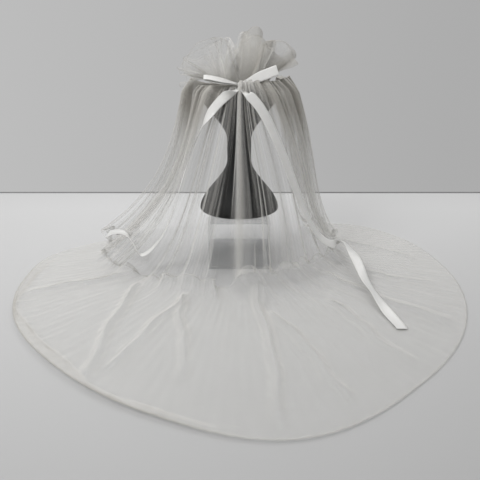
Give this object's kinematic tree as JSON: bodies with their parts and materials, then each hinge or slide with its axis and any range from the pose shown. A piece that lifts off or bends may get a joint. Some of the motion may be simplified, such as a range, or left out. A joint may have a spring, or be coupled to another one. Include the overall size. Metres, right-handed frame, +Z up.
{
  "type": "bridal veil on display stand",
  "caption": "Gathered tulle bridal veil with a ruffled pouf and a satin bow, hung on a waisted display stand over a clear riser, its train spread on the floor.",
  "frame": {"origin": "on the floor, under the display stand's axis, in the middle of the mount riser_foot's axis", "axes": "+Z up the stand; -Y to the front, where the bow is; +X to the wearer's left, which is the right of the front view"},
  "size_m": [1.0235, 0.9489, 0.5481],
  "materials": {
    "tulle": "sheer ivory illusion tulle",
    "satin": "ivory satin ribbon with a sheen",
    "stand_black": "matte black",
    "clear_acrylic": "clear polished acrylic"
  },
  "bodies": {
    "root": {"display_riser": "clear_acrylic", "display_stand": "stand_black", "gathered_heading": "tulle", "veil_fall": "tulle", "veil_train": "tulle", "pouf_ruffle_front": "tulle", "pouf_ruffle_second": "tulle", "pouf_ruffle_third": "tulle", "pouf_ruffle_back": "tulle", "ribbon_knot": "satin", "ribbon_loop_left": "satin", "ribbon_loop_right": "satin", "ribbon_tail_left": "satin", "ribbon_tail_right": "satin"}
  },
  "joints": []
}
